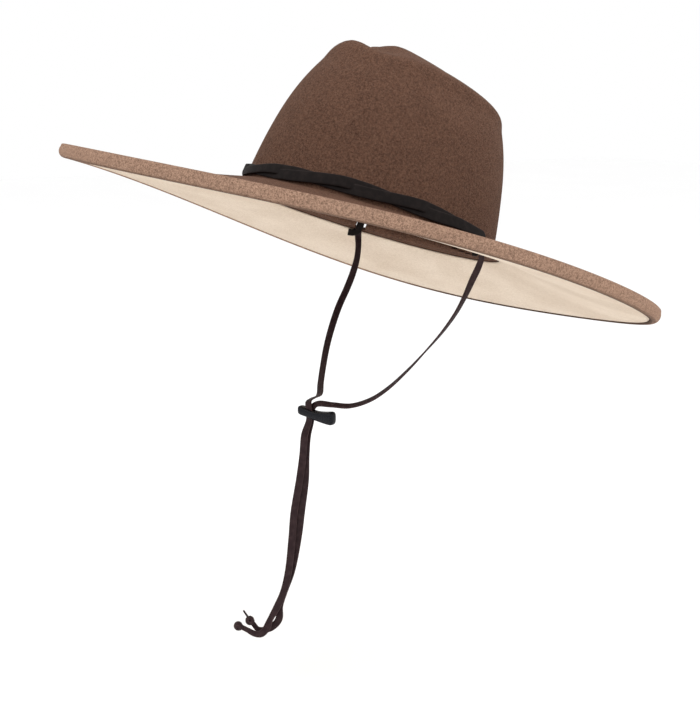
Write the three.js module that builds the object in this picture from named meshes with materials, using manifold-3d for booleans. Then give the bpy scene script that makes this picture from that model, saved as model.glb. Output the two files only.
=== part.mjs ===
// A wide-brimmed felt hat in its worn pose: a teardrop crown, a broad brim with a rolled rim and a pale
// facing beneath, two leather strips twisted round the front of the crown, and a chin lace with a slide.
// Millimetres. The origin is the middle of the crown's opening. +Z is up, the wearer faces -Y and the
// wearer's left is +X. The hat is modelled upright and then leans back by PITCH_BACK about X.
import * as THREE from 'three';
import { mergeVertices } from 'three/addons/utils/BufferGeometryUtils.js';
import Module from 'manifold-3d';

const wasm = await Module();
wasm.setup();
const { Manifold, Mesh } = wasm;

// Driving dimensions of the hat: a size 58 crown and a brim of about 130 mm.
const PITCH_BACK = 19;
const FELT_THICKNESS = 2.6;
const CROWN_HALF_WIDTH = 86.5;
const CROWN_HALF_LENGTH = 102.5;
const CROWN_HEIGHT = 122.3;
const FRONT_RISE = 12.3;
const CROWN_LEAN = 10.9;
const CROWN_BELLY = -2;
const RIM_HALF_WIDTH = 217.5;
const RIM_HALF_LENGTH = 235.5;
const BRIM_DROP = 18.3;
const DROP_POWER = 1.7;
const ROLL_RADIUS = 2.2;
const LIP_HEIGHT = 1.2;
const HEM = { depth: 2.4, start: 2.985, full: 3, fade: 3.2, end: 4.2 };
const CORNER_RADIUS = 2;
const COLUMNS = 60;

// The crown's side and top, from the brim up to the middle of the top.
const CROWN_PROFILE = [
  { radius: 1.0, height: 0.0 },
  { radius: 0.972, height: 0.16 },
  { radius: 0.937, height: 0.32 },
  { radius: 0.892, height: 0.48 },
  { radius: 0.833, height: 0.63 },
  { radius: 0.756, height: 0.77 },
  { radius: 0.673, height: 0.88 },
  { radius: 0.38, height: 0.955 },
  { radius: 0.2, height: 0.99 },
  { radius: 0.0, height: 1.0 },
];

// The soft wave of the rim, as cosines and sines of the angle from the front.
const RIM_WAVES = [
  { order: 1, cosine: -0.8, sine: -0.2 },
  { order: 2, cosine: -3.1, sine: -4.6 },
  { order: 3, cosine: -2.4, sine: 0.2 },
  { order: 4, cosine: 0.5, sine: 0.0 },
];

// Dents and folds pressed into the crown.
const CREASE = { depth: 15.2, halfWidth: 12, middle: 5, reach: 40.8 };
const FRONT_PEAK = { rise: 13.4, halfWidth: 19.7, middle: -33.1, reach: 29.9 };
const FRONT_FALL = { drop: 11.3, halfWidth: 30, middle: -45, reach: 12 };
const SIDE_DENT = { depth: 3, middle: 5, reach: 34, height: 99.5, spread: 16 };

// Facing under the brim, as shares of the brim's width.
const FACING = { gap: 0.3, thickness: 1.2, inner: 0.042, outer: 0.978 };

// Leather strips round the crown and the slits that take them through the brim.
const STRIP_WIDTH = 5.6;
const STRIP_THICKNESS = 1.5;
const STRIP_STEP = 4;
const STRIP_FAN = 3.15;
const WALL_GAP = 0.65;
const WALL_LEAN = 0.14;
const STRIP_GAP = 0.4;
const SLIT_ANGLE = 116;
const SLIT = { along: 8.6, across: 5.4, deep: 16 };
const TURN_RADIUS = 4.2;
const LACE_START = -1.2;

// Height of the band's middle above the brim, by length of arc from the middle of the front.
const BAND_MIDDLE = [
  { arc: 0, height: 7.2 },
  { arc: 20, height: 7.2 },
  { arc: 70, height: 8.2 },
  { arc: 130, height: 8.2 },
  { arc: 170, height: 6.8 },
  { arc: 200, height: 6 },
];

// Where the strips cross, as lengths of arc from the middle of the front.
const CROSSINGS = [-167, -112, -53, -4, 51, 106, 161];

// Slide on the two laces.
const SLIDE = { x: 0, y: -48.9, z: -147.9, heading: 20, halfLength: 17.2, halfDepth: 3.9 };
const SLIDE_PROFILE = [
  { middle: 2.8, halfHeight: 3.8 },
  { middle: 1.4, halfHeight: 3.4 },
  { middle: 0, halfHeight: 3.6 },
  { middle: -0.3, halfHeight: 4.6 },
  { middle: 0.1, halfHeight: 5.8 },
];
const SLIDE_SLOT = { along: 7.2, across: 5.3, middle: -6 };
const KNOT_RADIUS = 4.2;

const radians = (degrees) => (degrees * Math.PI) / 180;

// Smooth value of a table's columns at a share from 0 (first row) to 1 (last row).
function smoothRow(rows, share, columns) {
  const position = Math.min(Math.max(share, 0), 1) * (rows.length - 1);
  const index = Math.min(Math.floor(position), rows.length - 2);
  const t = position - index;
  const before = rows[Math.max(index - 1, 0)];
  const from = rows[index];
  const to = rows[index + 1];
  const after = rows[Math.min(index + 2, rows.length - 1)];
  return columns.map((column) => {
    const slopeFrom = (to[column] - before[column]) / (index === 0 ? 1 : 2);
    const slopeTo = (after[column] - from[column]) / (index === rows.length - 2 ? 1 : 2);
    const t2 = t * t;
    const t3 = t2 * t;
    return (
      from[column] * (2 * t3 - 3 * t2 + 1) +
      slopeFrom * (t3 - 2 * t2 + t) +
      to[column] * (3 * t2 - 2 * t3) +
      slopeTo * (t3 - t2)
    );
  });
}

// Outer surface of the crown: share 0 is the middle of the top, share 1 is the base.
function crownPoint(share, angle) {
  const [radius, height] = smoothRow(CROWN_PROFILE, 1 - share, ['radius', 'height']);
  const y =
    -CROWN_HALF_LENGTH * radius * Math.cos(angle) + CROWN_LEAN * height + CROWN_BELLY * Math.sin(Math.PI * height);
  const x = CROWN_HALF_WIDTH * radius * Math.sin(angle);
  const blend = THREE.MathUtils.smoothstep(height, 0.72, 0.94);
  let z = height * (CROWN_HEIGHT - (FRONT_RISE * (y - 3.4)) / CROWN_HALF_LENGTH);
  z +=
    blend *
    FRONT_PEAK.rise *
    Math.exp(-((x / FRONT_PEAK.halfWidth) ** 2) - ((y - FRONT_PEAK.middle) / FRONT_PEAK.reach) ** 2);
  z -=
    blend *
    FRONT_FALL.drop *
    Math.exp(-((x / FRONT_FALL.halfWidth) ** 2) - ((y - FRONT_FALL.middle) / FRONT_FALL.reach) ** 2);
  z -= blend * CREASE.depth * Math.exp(-((x / CREASE.halfWidth) ** 2) - ((y - CREASE.middle) / CREASE.reach) ** 4);
  const dent =
    SIDE_DENT.depth *
    Math.exp(-(((y - SIDE_DENT.middle) / SIDE_DENT.reach) ** 2) - ((z - SIDE_DENT.height) / SIDE_DENT.spread) ** 2);
  return new THREE.Vector3(x - Math.sign(x) * dent * Math.min(1, Math.abs(x) / 30), y, z);
}

// Height of the rim's upper surface around the brim.
function rimHeight(angle) {
  return RIM_WAVES.reduce(
    (sum, wave) => sum + wave.cosine * Math.cos(wave.order * angle) + wave.sine * Math.sin(wave.order * angle),
    0,
  );
}

// Upper surface of the brim, from the crown's corner (share 0) to the start of the roll (share 1).
const rollDepth = ROLL_RADIUS + FELT_THICKNESS;

function brimPoint(share, angle) {
  const halfWidth = CROWN_HALF_WIDTH + CORNER_RADIUS;
  const halfLength = CROWN_HALF_LENGTH + CORNER_RADIUS;
  return new THREE.Vector3(
    (halfWidth + (RIM_HALF_WIDTH - rollDepth - halfWidth) * share) * Math.sin(angle),
    -(halfLength + (RIM_HALF_LENGTH - rollDepth - halfLength) * share) * Math.cos(angle),
    -BRIM_DROP * (1 - (1 - share) ** DROP_POWER) + rimHeight(angle) * share ** 1.5,
  );
}

function outward(angle, halfWidth, halfLength) {
  return new THREE.Vector3(Math.sin(angle) / halfWidth, -Math.cos(angle) / halfLength, 0).normalize();
}

// The whole upper surface: 0 to 1 crown, 1 to 2 corner, 2 to 3 brim, 3 to 4 roll, 4 to 5 lip.
const cornerShare = 1 - CORNER_RADIUS / (CROWN_PROFILE[1].height * CROWN_HEIGHT) / (CROWN_PROFILE.length - 1);

function upperPoint(station, angle) {
  if (station <= 1) return crownPoint(station * cornerShare, angle);
  if (station <= 2) {
    const turn = ((station - 1) * Math.PI) / 2;
    const base = crownPoint(1 - (1 - cornerShare) * (1 - Math.sin(turn)), angle);
    const grow = outward(angle, CROWN_HALF_WIDTH, CROWN_HALF_LENGTH);
    base.addScaledVector(grow, CORNER_RADIUS * (1 - Math.cos(turn)));
    return base.lerp(brimPoint(0, angle), Math.max(0, station - 1) ** 2);
  }
  if (station <= 3) return brimPoint(station - 2, angle);
  const edge = brimPoint(1, angle);
  const grow = outward(angle, RIM_HALF_WIDTH, RIM_HALF_LENGTH);
  const turn = (Math.min(station - 3, 1) * Math.PI) / 2;
  edge.addScaledVector(grow, ROLL_RADIUS * Math.sin(turn));
  edge.z += ROLL_RADIUS * (1 - Math.cos(turn)) + LIP_HEIGHT * Math.max(0, station - 4);
  return edge;
}

// The point below the upper surface by a depth, square to it.
function feltPoint(station, angle, depth) {
  const point = upperPoint(station, angle);
  if (depth === 0) return point;
  const along = upperPoint(Math.min(station + 0.02, 5), angle).sub(upperPoint(Math.max(station - 0.02, 0.001), angle));
  const around = upperPoint(station, angle + 0.01).sub(upperPoint(station, angle - 0.01));
  const normal = around.cross(along).normalize();
  if (station < 0.001) normal.set(0, 0, 1);
  else normal.negate();
  return point.addScaledVector(normal, -depth);
}

// Extra thickness of the folded hem at a station: it hangs a little below the rest of the brim.
function hemDepth(station) {
  const rise = THREE.MathUtils.smoothstep(station, HEM.start, HEM.full);
  return HEM.depth * rise * (1 - THREE.MathUtils.smoothstep(station, HEM.fade, HEM.end));
}

// A closed surface from a list of rings, with a single point at either end where one is given.
function ringSolid(rings, firstPoint, lastPoint) {
  const positions = [];
  const indices = [];
  const count = rings[0].length;
  rings.forEach((ring) => ring.forEach((point) => positions.push(point.x, point.y, point.z)));
  const bands = firstPoint ? rings.length - 1 : rings.length;
  for (let band = 0; band < bands; band += 1) {
    const nextBand = (band + 1) % rings.length;
    for (let column = 0; column < count; column += 1) {
      const nextColumn = (column + 1) % count;
      const a = band * count + column;
      const b = band * count + nextColumn;
      const c = nextBand * count + column;
      const d = nextBand * count + nextColumn;
      indices.push(a, c, b, b, c, d);
    }
  }
  const close = (point, ring, flip) => {
    const tip = positions.length / 3;
    positions.push(point.x, point.y, point.z);
    for (let column = 0; column < count; column += 1) {
      const a = ring * count + column;
      const b = ring * count + ((column + 1) % count);
      indices.push(tip, ...(flip ? [a, b] : [b, a]));
    }
  };
  if (firstPoint) {
    close(firstPoint, 0, true);
    close(lastPoint, rings.length - 1, false);
  }
  return facedOut(positions, indices);
}

// Turns the triangles of a closed surface to face outward.
function facedOut(positions, indices) {
  let volume = 0;
  const corner = (index) => new THREE.Vector3(...positions.slice(index * 3, index * 3 + 3));
  for (let i = 0; i < indices.length; i += 3) {
    volume += corner(indices[i]).dot(corner(indices[i + 1]).cross(corner(indices[i + 2])));
  }
  if (volume < 0) {
    for (let i = 0; i < indices.length; i += 3) {
      [indices[i + 1], indices[i + 2]] = [indices[i + 2], indices[i + 1]];
    }
  }
  const geometry = new THREE.BufferGeometry();
  geometry.setAttribute('position', new THREE.Float32BufferAttribute(positions, 3));
  geometry.setIndex(indices);
  return geometry;
}

function ring(place) {
  return Array.from({ length: COLUMNS }, (_, column) => place((column / COLUMNS) * 2 * Math.PI));
}

function spread(from, to, steps) {
  return Array.from({ length: steps }, (_, step) => from + ((to - from) * (step + 1)) / steps);
}

function toManifold(geometry) {
  const merged = mergeVertices(geometry, 1e-4);
  return new Manifold(
    new Mesh({
      numProp: 3,
      vertProperties: new Float32Array(merged.attributes.position.array),
      triVerts: new Uint32Array(merged.index.array),
    }),
  );
}

function fromManifold(solid) {
  const mesh = solid.getMesh();
  const geometry = new THREE.BufferGeometry();
  geometry.setAttribute('position', new THREE.Float32BufferAttribute(mesh.vertProperties, 3));
  geometry.setIndex([...mesh.triVerts]);
  return geometry;
}

// A place beside the crown's wall: its angle, height above the brim and distance out from the felt.
function besideWall(angle, height, distance) {
  const tall = CROWN_HEIGHT + FRONT_RISE * Math.cos(angle);
  const share = height / tall;
  const radius = 1 - ((1 - CROWN_PROFILE[1].radius) / CROWN_PROFILE[1].height) * share;
  const out = outward(angle, CROWN_HALF_WIDTH, CROWN_HALF_LENGTH);
  return new THREE.Vector3(
    CROWN_HALF_WIDTH * radius * Math.sin(angle),
    -CROWN_HALF_LENGTH * radius * Math.cos(angle) + (CROWN_LEAN + Math.PI * CROWN_BELLY) * share,
    height,
  ).addScaledVector(out, distance);
}

// Angle from the front at a length of arc around the crown's base.
const ARC_TABLE = (() => {
  const rows = [{ arc: 0, angle: 0 }];
  for (let degree = 1; degree <= 180; degree += 1) {
    const from = besideWall(radians(degree - 1), 0, 0);
    const to = besideWall(radians(degree), 0, 0);
    rows.push({ arc: rows[degree - 1].arc + from.distanceTo(to), angle: radians(degree) });
  }
  return rows;
})();

function angleAtArc(arc) {
  const length = Math.abs(arc);
  const index = ARC_TABLE.findIndex((row) => row.arc >= length);
  const from = ARC_TABLE[Math.max(index - 1, 0)];
  const to = ARC_TABLE[Math.max(index, 1)];
  const angle = THREE.MathUtils.mapLinear(length, from.arc, to.arc, from.angle, to.angle);
  return Math.sign(arc) * angle;
}

const slitAngle = radians(SLIT_ANGLE);
const slitArc = ARC_TABLE[SLIT_ANGLE].arc;

// Where a strip lies at a length of arc: its height and its distance out. side is 1 for one strip and -1 for
// the other.
function stripLie(arc, side) {
  const held = THREE.MathUtils.clamp(arc, CROSSINGS[0], CROSSINGS[CROSSINGS.length - 1]);
  const index = CROSSINGS.findIndex((crossing, place) => place > 0 && crossing >= held) - 1;
  const phase = Math.PI * (index - 3 + (held - CROSSINGS[index]) / (CROSSINGS[index + 1] - CROSSINGS[index]));
  const fan = Math.sin(phase);
  const layer = THREE.MathUtils.clamp(Math.cos(phase) / 0.24, -1, 1);
  const halfLayers = (STRIP_THICKNESS + STRIP_GAP) / 2;
  const after = BAND_MIDDLE.findIndex((row) => row.arc > Math.abs(arc));
  const [from, to] = [BAND_MIDDLE[after - 1], BAND_MIDDLE[after]];
  const middle = THREE.MathUtils.mapLinear(Math.abs(arc), from.arc, to.arc, from.height, to.height);
  return {
    height: middle + side * STRIP_FAN * fan,
    distance: WALL_GAP + STRIP_THICKNESS / 2 + halfLayers + side * layer * halfLayers,
  };
}

// Centre line of a strip: round the front of the crown, then a turn down into the slit at each end. tail lists
// the points that follow the turn, each a length forward of the slit and a height.
function stripPath(side, tail) {
  const reach = slitArc - TURN_RADIUS;
  const steps = Math.round((2 * reach) / STRIP_STEP);
  const rows = [];
  const place = (arc, height, distance) => rows.push(besideWall(angleAtArc(arc), height, distance));
  const turnDown = (sign, order) => {
    const end = stripLie(sign * reach, side);
    const top = end.height - TURN_RADIUS;
    const turns = [18, 36, 54, 72, 90].map((degrees) => ({
      arc: sign * (reach + TURN_RADIUS * Math.sin(radians(degrees))),
      height: top + TURN_RADIUS * Math.cos(radians(degrees)),
    }));
    tail.forEach((row) => turns.push({ arc: sign * (slitArc - row.forward), height: row.height }));
    if (order < 0) turns.reverse();
    turns.forEach((row) => place(row.arc, row.height, end.distance));
  };
  turnDown(-1, -1);
  for (let step = 0; step <= steps; step += 1) {
    const arc = -reach + (2 * reach * step) / steps;
    const lie = stripLie(arc, side);
    place(arc, lie.height, lie.distance);
  }
  turnDown(1, 1);
  return rows;
}

// A flat strip of leather along points, lying with its face square to the given normals.
function ribbon(points, normalAt, width, thickness) {
  const rings = points.map((point, index) => {
    const before = points[Math.max(index - 1, 0)];
    const after = points[Math.min(index + 1, points.length - 1)];
    const along = after.clone().sub(before).normalize();
    const across = normalAt(index).clone().cross(along).normalize();
    const face = along.clone().cross(across).normalize();
    return [
      [1, 1],
      [-1, 1],
      [-1, -1],
      [1, -1],
    ].map(([a, b]) =>
      point.clone().addScaledVector(across, (a * width) / 2).addScaledVector(face, (b * thickness) / 2),
    );
  });
  const middle = (ringPoints) => ringPoints.reduce((sum, p) => sum.add(p), new THREE.Vector3()).multiplyScalar(0.25);
  return ringSolid(rings, middle(rings[0]), middle(rings[rings.length - 1]));
}

// Outward normal of the crown's wall, which leans in a little as it rises.
function wallNormal(point) {
  const angle = Math.atan2(point.x / CROWN_HALF_WIDTH, -point.y / CROWN_HALF_LENGTH);
  return outward(angle, CROWN_HALF_WIDTH, CROWN_HALF_LENGTH).setZ(WALL_LEAN).normalize();
}

const lean = new THREE.Matrix4().makeRotationX(-radians(PITCH_BACK));

// Felt: crown, brim and rolled rim, with one slit through the brim behind each ear.
const crownStations = [...spread(0, 1, 15), ...spread(1, 2, 2)];
const rimStations = [...spread(3, 4, 3), ...spread(4, 5, 1)];
const upperStations = [...crownStations, ...spread(2, 3, 5), ...rimStations];
const lowerStations = [...crownStations, ...spread(2, HEM.start, 5), HEM.full, ...rimStations].reverse();
const upperRings = upperStations.map((station) => ring((angle) => feltPoint(station, angle, 0)));
const lowerRings = lowerStations.map((station) =>
  ring((angle) => feltPoint(station, angle, FELT_THICKNESS + hemDepth(station))),
);
const lipRing = ring((angle) => feltPoint(5, angle, FELT_THICKNESS / 2).add(new THREE.Vector3(0, 0, 0.9)));
const feltShell = ringSolid(
  [...upperRings, lipRing, ...lowerRings],
  feltPoint(0, 0, 0),
  feltPoint(0, 0, FELT_THICKNESS),
);
const slitCut = (sign) => {
  const box = new THREE.BoxGeometry(SLIT.along, SLIT.across, SLIT.deep);
  const out = outward(sign * slitAngle, CROWN_HALF_WIDTH, CROWN_HALF_LENGTH);
  const along = out.clone().cross(new THREE.Vector3(0, 0, 1));
  const centre = besideWall(sign * slitAngle, 0, SLIT.across / 2).setZ(4 - SLIT.deep / 2);
  box.applyMatrix4(new THREE.Matrix4().makeBasis(along, out, new THREE.Vector3(0, 0, 1)).setPosition(centre));
  box.deleteAttribute('normal');
  box.deleteAttribute('uv');
  return toManifold(box);
};
const feltBody = fromManifold(toManifold(feltShell).subtract(slitCut(1)).subtract(slitCut(-1)));

// Pale facing laid against the underside of the brim.
const facingStations = [FACING.inner, ...spread(FACING.inner, FACING.outer, 6)].map((share) => 2 + share);
const facingTop = facingStations.map((station) => ring((angle) => feltPoint(station, angle, FELT_THICKNESS + FACING.gap)));
const facingBottom = facingStations
  .map((station) => ring((angle) => feltPoint(station, angle, FELT_THICKNESS + FACING.gap + FACING.thickness)))
  .reverse();
const underbrimFacing = ringSolid([...facingTop, ...facingBottom]);

// Leather strips. The first ends in short tails below the brim, the second meets the chin laces in the slits.
const LONG_TAIL = [
  { forward: 0, height: -2 },
  { forward: 0.4, height: -4.7 },
  { forward: 2.2, height: -6.8 },
  { forward: 4.8, height: -7.8 },
  { forward: 8, height: -8.2 },
];
const SHORT_TAIL = [{ forward: 0, height: LACE_START + 0.3 }];
const stripShape = (side, tail) => {
  const path = stripPath(side, tail);
  return ribbon(path, (index) => wallNormal(path[index]), STRIP_WIDTH, STRIP_THICKNESS);
};
const bandStripA = stripShape(1, LONG_TAIL);
const bandStripB = stripShape(-1, SHORT_TAIL);

// The left lace's upper run, from below its slit to the slide. heading is the compass of its width where it
// hangs plumb, tilt is how far its face turns down from there.
const UPPER_RUN = [
  { x: 81.7, y: 42.4, z: -24.3, heading: 104, tilt: 4 },
  { x: 79.7, y: 41.3, z: -31.7, heading: 88, tilt: 6 },
  { x: 76.8, y: 38.1, z: -41.5, heading: 86, tilt: 12 },
  { x: 75, y: 32.6, z: -53.9, heading: 102, tilt: 20 },
  { x: 73.5, y: 26, z: -65.4, heading: 112, tilt: 26 },
  { x: 70.8, y: 16.8, z: -79, heading: 122, tilt: 30 },
  { x: 64.8, y: 6.7, z: -93.2, heading: 134, tilt: 36 },
  { x: 57.5, y: -2.5, z: -107.6, heading: 148, tilt: 44 },
  { x: 45.5, y: -14.7, z: -122.7, heading: 162, tilt: 48 },
  { x: 35, y: -23.6, z: -132, heading: 172, tilt: 54 },
  { x: 22, y: -33, z: -138, heading: 180, tilt: 60 },
];

// What follows for each lace: into the slide, through its slot and down to the knot.
const LEFT_END = [
  { x: 9.5, y: -41.2, z: -138.6, heading: 188, tilt: 62 },
  { x: -2.6, y: -47.3, z: -139.7, heading: 196, tilt: 45 },
  { x: -6.2, y: -49.8, z: -144.6, heading: 200, tilt: 6 },
  { x: -6, y: -50.1, z: -152, heading: 200, tilt: 0 },
  { x: -3.4, y: -55, z: -162.9, heading: 218, tilt: 4 },
  { x: -0.7, y: -58.2, z: -177.3, heading: 228, tilt: 4 },
  { x: 1.2, y: -60, z: -195.8, heading: 234, tilt: 3 },
  { x: 0.1, y: -63.2, z: -222.5, heading: 237, tilt: 3 },
  { x: -0.2, y: -65.9, z: -241.3, heading: 232, tilt: 5 },
  { x: -1.3, y: -71.5, z: -268, heading: 222, tilt: 10 },
  { x: -2.4, y: -77.8, z: -284.1, heading: 222, tilt: 14 },
  { x: -2.7, y: -81.6, z: -294.7, heading: 228, tilt: 11 },
  { x: -1.8, y: -82.8, z: -304.8, heading: 237, tilt: 4 },
  { x: -5.8, y: -86.8, z: -311.8, heading: 237, tilt: 0 },
  { x: -10.1, y: -92.2, z: -314.6, heading: 237, tilt: 0 },
  { x: -12.4, y: -95.7, z: -313.7, heading: 237, tilt: 0 },
  { x: -13.7, y: -98.3, z: -309.9, heading: 237, tilt: 0 },
];
const RIGHT_END = [
  { x: -14.2, y: -43.6, z: -137.8, heading: 184, tilt: 58 },
  { x: -8.8, y: -50.6, z: -138.4, heading: 192, tilt: 46 },
  { x: -5.8, y: -52.6, z: -141, heading: 198, tilt: 22 },
  { x: -5.4, y: -52.3, z: -145.2, heading: 200, tilt: 2 },
  { x: -5.3, y: -52.4, z: -152, heading: 200, tilt: 0 },
  { x: -2.9, y: -57.9, z: -162.3, heading: 218, tilt: 4 },
  { x: -0.1, y: -61.2, z: -176.7, heading: 228, tilt: 4 },
  { x: 0.8, y: -64.8, z: -195.1, heading: 234, tilt: 3 },
  { x: -1, y: -69, z: -221.8, heading: 237, tilt: 3 },
  { x: -0.8, y: -71, z: -240.6, heading: 232, tilt: 5 },
  { x: -0.7, y: -74.5, z: -267.2, heading: 222, tilt: 8 },
  { x: -0.6, y: -79, z: -283.2, heading: 222, tilt: 14 },
  { x: -1.3, y: -84.2, z: -293.7, heading: 214, tilt: 12 },
  { x: -2.7, y: -89.7, z: -303.5, heading: 188, tilt: 6 },
  { x: -3.6, y: -93.3, z: -311.3, heading: 237, tilt: 4 },
  { x: -5.6, y: -96.6, z: -315.1, heading: 237, tilt: 0 },
  { x: -8, y: -100.6, z: -314.9, heading: 237, tilt: 0 },
  { x: -11.4, y: -104.8, z: -312.3, heading: 237, tilt: 0 },
  { x: -13, y: -107.4, z: -310.6, heading: 237, tilt: 0 },
];

const mirrored = (row) => ({ ...row, x: -row.x, heading: 360 - row.heading });

// Rows of the whole lace. It starts in the slit, under the end of the second strip.
function laceRows(sign, rows) {
  const distance = stripLie(sign * (slitArc - TURN_RADIUS), -1).distance;
  const heading = sign > 0 ? 113 : 247;
  const start = [LACE_START, LACE_START - 3.5].map((height) => {
    const point = besideWall(sign * slitAngle, height, distance).applyMatrix4(lean);
    return { x: point.x, y: point.y, z: point.z, heading, tilt: 0 };
  });
  return [...start, ...rows];
}

function laceShape(rows, steps) {
  const curve = new THREE.CatmullRomCurve3(
    rows.map((row) => new THREE.Vector3(row.x, row.y, row.z)),
    false,
    'centripetal',
  );
  const shares = Array.from({ length: steps + 1 }, (_, step) => step / steps);
  const points = shares.map((share) => curve.getPoint(share));
  return ribbon(
    points,
    (index) => {
      const [heading, tilt] = smoothRow(rows, shares[index], ['heading', 'tilt']).map(radians);
      return new THREE.Vector3(Math.sin(heading), -Math.cos(heading), -Math.tan(tilt)).normalize();
    },
    STRIP_WIDTH,
    STRIP_THICKNESS,
  );
}

const leftRows = laceRows(1, [...UPPER_RUN, ...LEFT_END]);
const rightRows = laceRows(-1, [...UPPER_RUN.map(mirrored), ...RIGHT_END]);
const chinLaceLeft = laceShape(leftRows, 74);
const chinLaceRight = laceShape(rightRows, 74);

// Slide: a bar that sags in the middle and flares at its ends, slotted for both laces.
const slideShares = [-1, -0.94, -0.78, -0.5, 0, 0.5, 0.78, 0.94, 1];
const slideRings = slideShares.map((share) => {
  const [middle, halfHeight] = smoothRow(SLIDE_PROFILE, (share + 1) / 2, ['middle', 'halfHeight']);
  const round = share * share > 0.9 ? 0.72 : 1;
  return Array.from({ length: 12 }, (_, corner) => {
    const turn = ((corner + 0.5) / 12) * 2 * Math.PI;
    const square = (value) => Math.sign(value) * Math.abs(value) ** 0.55;
    return new THREE.Vector3(
      share * SLIDE.halfLength,
      SLIDE.halfDepth * round * square(Math.cos(turn)),
      halfHeight * round * square(Math.sin(turn)) + middle,
    );
  });
});
const slideBar = ringSolid(
  slideRings,
  new THREE.Vector3(-SLIDE.halfLength, 0, SLIDE_PROFILE[0].middle),
  new THREE.Vector3(SLIDE.halfLength, 0, SLIDE_PROFILE[4].middle),
);
const slotCut = new THREE.BoxGeometry(SLIDE_SLOT.along, SLIDE_SLOT.across, 20);
slotCut.translate(SLIDE_SLOT.middle, 0, 0);
slotCut.deleteAttribute('normal');
slotCut.deleteAttribute('uv');
const chinSlide = fromManifold(toManifold(slideBar).subtract(toManifold(slotCut)));
chinSlide.applyMatrix4(
  new THREE.Matrix4().makeRotationZ(radians(SLIDE.heading)).setPosition(SLIDE.x, SLIDE.y, SLIDE.z),
);

// A knot: a lumpy ball just past the end of its lace.
function knotShape(rows) {
  const end = rows[rows.length - 1];
  const before = rows[rows.length - 2];
  const tip = new THREE.Vector3(end.x, end.y, end.z);
  const along = tip.clone().sub(new THREE.Vector3(before.x, before.y, before.z)).normalize();
  const knot = new THREE.IcosahedronGeometry(KNOT_RADIUS, 2);
  knot.deleteAttribute('normal');
  knot.deleteAttribute('uv');
  const geometry = mergeVertices(knot, 1e-4);
  const position = geometry.attributes.position;
  for (let i = 0; i < position.count; i += 1) {
    const point = new THREE.Vector3().fromBufferAttribute(position, i);
    const lump = 1 + 0.1 * Math.sin(1.4 * point.x + 2.1 * point.z) * Math.cos(1.2 * point.y);
    position.setXYZ(i, point.x * lump, point.y * lump, point.z * lump);
  }
  const centre = tip.addScaledVector(along, KNOT_RADIUS + 0.4);
  geometry.translate(centre.x, centre.y, centre.z);
  return geometry;
}

const PIECES = [
  { name: 'felt_body', geometry: feltBody.applyMatrix4(lean), color: 0x6d4c3d },
  { name: 'underbrim_facing', geometry: underbrimFacing.applyMatrix4(lean), color: 0xf0dcc4 },
  { name: 'band_strip_a', geometry: bandStripA.applyMatrix4(lean), color: 0x241c1e },
  { name: 'band_strip_b', geometry: bandStripB.applyMatrix4(lean), color: 0x3a2a2c },
  { name: 'chin_lace_left', geometry: chinLaceLeft, color: 0x3c282d },
  { name: 'chin_lace_right', geometry: chinLaceRight, color: 0x4a3338 },
  { name: 'chin_slide', geometry: chinSlide, color: 0x1c1d22 },
  { name: 'lace_knot_left', geometry: knotShape(leftRows), color: 0x33242a },
  { name: 'lace_knot_right', geometry: knotShape(rightRows), color: 0x2b2024 },
];

const hat = new THREE.Group();
hat.name = 'safari_hat';
PIECES.forEach(({ name, geometry, color }) => {
  const mesh = new THREE.Mesh(geometry, new THREE.MeshStandardMaterial({ color }));
  mesh.name = name;
  hat.add(mesh);
});

export default hat;
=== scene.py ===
# A wide-brimmed felt hat held up as it is worn, with a twisted leather band and a chin lace. In metres. The
# origin is the middle of the crown's opening, +Z is up, the wearer faces -Y and the wearer's left is +X.
import math

import bpy
import numpy as np
from mathutils import Matrix, Vector


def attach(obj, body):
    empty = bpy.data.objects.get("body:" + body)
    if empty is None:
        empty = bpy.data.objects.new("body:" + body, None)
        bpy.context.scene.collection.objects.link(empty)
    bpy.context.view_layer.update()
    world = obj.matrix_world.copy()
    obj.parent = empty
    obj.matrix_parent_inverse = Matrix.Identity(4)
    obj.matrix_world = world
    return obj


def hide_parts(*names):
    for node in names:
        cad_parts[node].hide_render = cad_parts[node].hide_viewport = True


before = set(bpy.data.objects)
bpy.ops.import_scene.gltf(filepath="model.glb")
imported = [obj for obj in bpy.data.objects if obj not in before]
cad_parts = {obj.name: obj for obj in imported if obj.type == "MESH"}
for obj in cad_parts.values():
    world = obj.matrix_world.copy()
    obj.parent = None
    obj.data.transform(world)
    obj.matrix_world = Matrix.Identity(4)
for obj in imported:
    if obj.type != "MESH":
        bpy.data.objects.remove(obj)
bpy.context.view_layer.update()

# Felt body: crown, brim and rolled rim, blocked over a wooden form from one piece of brown melange wool felt.
# The wall is 2.6 mm thick, the rim's edge is rolled up, and a slit behind each ear lets the leather through.
PITCH_BACK = math.radians(19)
FELT_THICKNESS = 0.0026
CROWN_HALF_WIDTH = 0.0865
CROWN_HALF_LENGTH = 0.1025
CROWN_HEIGHT = 0.1223
FRONT_RISE = 0.0123
CROWN_LEAN = 0.0109
CROWN_BELLY = -0.002
CROWN_MIDDLE = 0.0034
RIM_HALF_WIDTH = 0.2175
RIM_HALF_LENGTH = 0.2355
BRIM_DROP = 0.0183
DROP_POWER = 1.7
ROLL_RADIUS = 0.0022
LIP_HEIGHT = 0.0012
CORNER_RADIUS = 0.002
HEM = {"depth": 0.0024, "start": 2.985, "full": 2.992, "fade": 3.2, "end": 4.2}
LIP_BULGE = 0.45
LIP_TURNS = (0.2, 0.4, 0.6, 0.8)
SLIT_ANGLES = (113.5, 118.5)
SLIT_END = 2.02

# The felt's columns lie a degree apart, at half degrees from the middle of the front.
FELT_COLUMNS = 360
COLUMN_OFFSET = 0.5

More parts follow.
